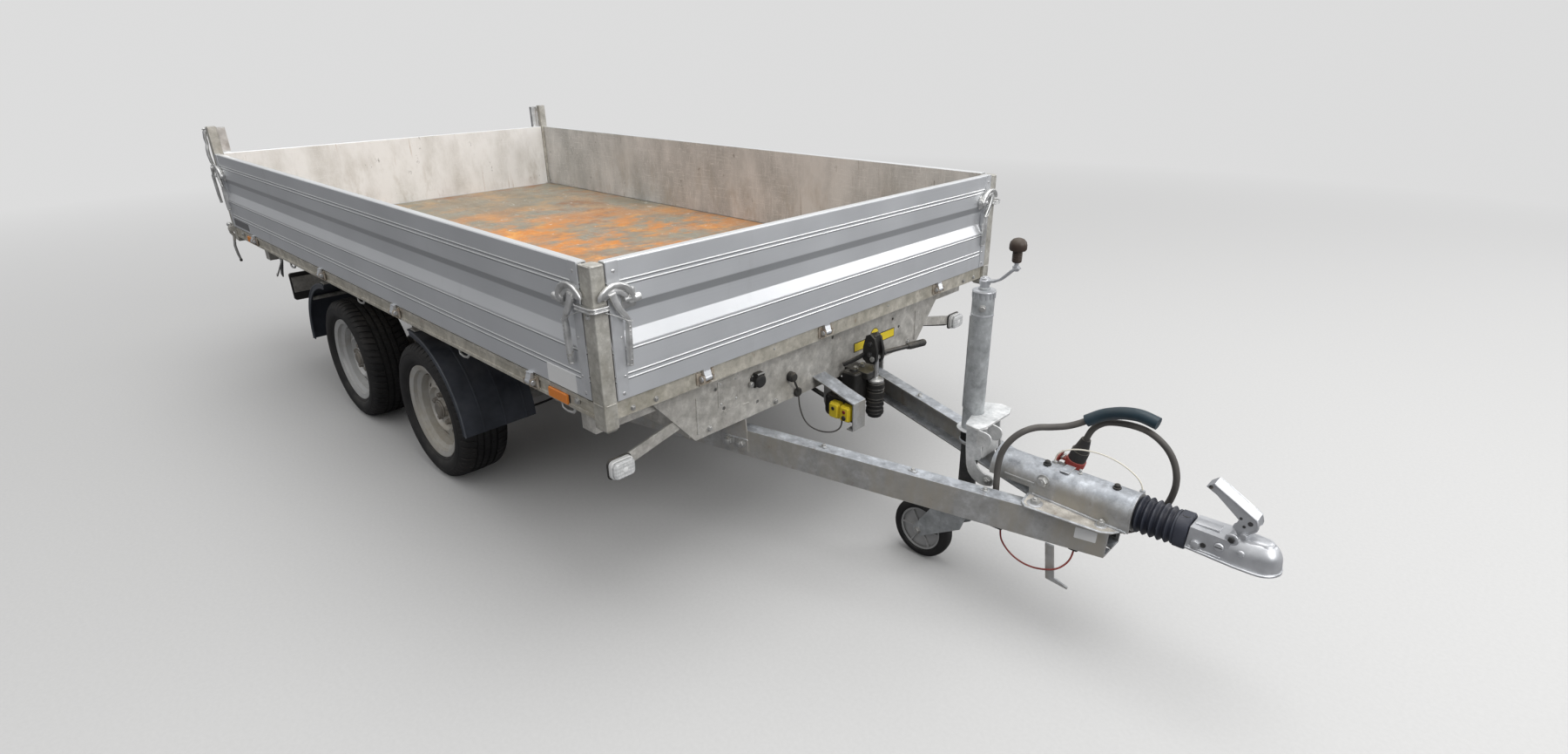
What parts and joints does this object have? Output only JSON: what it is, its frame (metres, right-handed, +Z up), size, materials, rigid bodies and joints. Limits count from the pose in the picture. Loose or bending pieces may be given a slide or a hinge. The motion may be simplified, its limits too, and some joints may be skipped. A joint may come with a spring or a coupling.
{
  "type": "tipper trailer",
  "caption": "Three-way tipper trailer: low aluminium drop-side bed that tips to the rear on a telescopic cylinder, tandem axle, V drawbar with overrun coupling and jack.",
  "frame": {"origin": "on the ground under the middle of the whole trailer's length and width", "axes": "+X towards the coupling, +Y to the trailer's left, +Z up"},
  "size_m": [4.5759, 1.854, 1.198],
  "materials": {
    "aluminium": "anodised",
    "galvanised": "galvanised, weathered",
    "zinc": "zinc plated",
    "black_paint": "satin",
    "black_plastic": "matt",
    "tyre": "matt",
    "rim_paint": "silver paint, dusty",
    "floor_steel": "worn, rust stained",
    "orange_plastic": "gloss",
    "black_rubber": "satin",
    "jack_rubber": "matt",
    "bright_steel": "bright",
    "clear_plastic": "gloss",
    "red_plastic": "gloss",
    "cable_rubber": "matt",
    "blue_plastic": "satin"
  },
  "bodies": {
    "trailer": {"side_members": "galvanised", "cross_members": "galvanised", "mudguards": "black_plastic", "front_plate": "galvanised", "drawbar_arms": "galvanised", "drawbar_brackets": "galvanised", "overrun_housing": "galvanised", "bellows": "black_rubber", "coupling_head": "zinc", "coupling_lever": "zinc", "jack_bracket": "galvanised", "jack_tube": "zinc", "jack_crank": "zinc", "axles": "galvanised", "lamp_carriers": "galvanised", "front_lamps": "clear_plastic", "rear_lamps": "red_plastic", "hand_pump": "black_paint", "control_bracket": "galvanised", "control_unit": "black_plastic", "sockets_and_glands": "black_plastic", "parking_socket": "red_plastic", "plug": "black_plastic", "main_cable": "cable_rubber", "plug_lead": "cable_rubber", "breakaway_wire": "bright_steel", "red_wire": "red_plastic", "control_lead": "cable_rubber", "cable_sleeve": "blue_plastic"},
    "bed": {"bed_frame": "galvanised", "floor_plate": "floor_steel", "corner_posts": "galvanised", "hinge_brackets": "galvanised", "post_fittings": "zinc", "tailgate": "aluminium", "tailgate_uprights": "zinc", "side_markers": "orange_plastic"},
    "right_board": {"side_board_right": "aluminium", "board_latches_right": "zinc"},
    "left_board": {"side_board_left": "aluminium", "board_latches_left": "zinc"},
    "front_board": {"front_board": "aluminium", "board_latches_front": "zinc"},
    "wheel_front_right": {"tyre_front_right": "tyre", "rim_front_right": "rim_paint"},
    "wheel_front_left": {"tyre_front_left": "tyre", "rim_front_left": "rim_paint"},
    "wheel_rear_right": {"tyre_rear_right": "tyre", "rim_rear_right": "rim_paint"},
    "wheel_rear_left": {"tyre_rear_left": "tyre", "rim_rear_left": "rim_paint"},
    "barrel": {"cylinder_barrel": "black_paint"},
    "outer_stage": {"cylinder_stage_outer": "bright_steel"},
    "middle_stage": {"cylinder_stage_middle": "bright_steel"},
    "rod": {"cylinder_rod": "bright_steel"},
    "jack_leg": {"jack_inner": "zinc"},
    "jack_swivel": {"jack_fork": "zinc"},
    "jack_roller": {"jack_wheel": "jack_rubber"}
  },
  "joints": [
    {"name": "wheel_front_right_spin", "type": "hinge", "parent": "trailer", "child": "wheel_front_right", "pos_m": [-0.33, -0.7475, 0.267], "axis": [0, 1, 0], "continuous": true},
    {"name": "wheel_front_left_spin", "type": "hinge", "parent": "trailer", "child": "wheel_front_left", "pos_m": [-0.33, 0.7475, 0.267], "axis": [0, 1, 0], "continuous": true},
    {"name": "wheel_rear_right_spin", "type": "hinge", "parent": "trailer", "child": "wheel_rear_right", "pos_m": [-1.13, -0.7475, 0.267], "axis": [0, 1, 0], "continuous": true},
    {"name": "wheel_rear_left_spin", "type": "hinge", "parent": "trailer", "child": "wheel_rear_left", "pos_m": [-1.13, 0.7475, 0.267], "axis": [0, 1, 0], "continuous": true},
    {"name": "bed_tip", "type": "hinge", "parent": "trailer", "child": "bed", "pos_m": [-2.13, 0, 0.625], "axis": [0, -1, 0], "range_deg": [0, 45]},
    {"name": "cylinder_lean", "type": "hinge", "parent": "trailer", "child": "barrel", "pos_m": [-0.62, 0, 0.545], "axis": [0, -1, 0], "range_deg": [0, 22]},
    {"name": "outer_stage_slide", "type": "slide", "parent": "barrel", "child": "outer_stage", "axis": [0, 0, 1], "range_m": [0, 0.383]},
    {"name": "middle_stage_slide", "type": "slide", "parent": "outer_stage", "child": "middle_stage", "axis": [0, 0, 1], "range_m": [0, 0.383]},
    {"name": "rod_slide", "type": "slide", "parent": "middle_stage", "child": "rod", "axis": [0, 0, 1], "range_m": [0, 0.383]},
    {"name": "right_board_drop", "type": "hinge", "parent": "bed", "child": "right_board", "pos_m": [-0.62, -0.914, 0.697], "axis": [1, 0, 0], "range_deg": [0, 180]},
    {"name": "left_board_drop", "type": "hinge", "parent": "bed", "child": "left_board", "pos_m": [-0.62, 0.914, 0.697], "axis": [-1, 0, 0], "range_deg": [0, 180]},
    {"name": "front_board_drop", "type": "hinge", "parent": "bed", "child": "front_board", "pos_m": [0.98, 0, 0.697], "axis": [0, 1, 0], "range_deg": [0, 115]},
    {"name": "jack_lift", "type": "slide", "parent": "trailer", "child": "jack_leg", "axis": [0, 0, 1], "range_m": [-0.09, 0.09]},
    {"name": "jack_swivel", "type": "hinge", "parent": "jack_leg", "child": "jack_swivel", "pos_m": [1.47, 0, 0.24], "axis": [0, 0, 1], "continuous": true},
    {"name": "jack_wheel_spin", "type": "hinge", "parent": "jack_swivel", "child": "jack_roller", "pos_m": [1.33, 0, 0.1], "axis": [0, 1, 0], "continuous": true}
  ],
  "couplings": [
    {"joint": "cylinder_lean", "follows": "bed_tip", "ratio": 0.4858},
    {"joint": "outer_stage_slide", "follows": "bed_tip", "m_per_rad": 0.4865},
    {"joint": "middle_stage_slide", "follows": "bed_tip", "m_per_rad": 0.4865},
    {"joint": "rod_slide", "follows": "bed_tip", "m_per_rad": 0.4865}
  ]
}
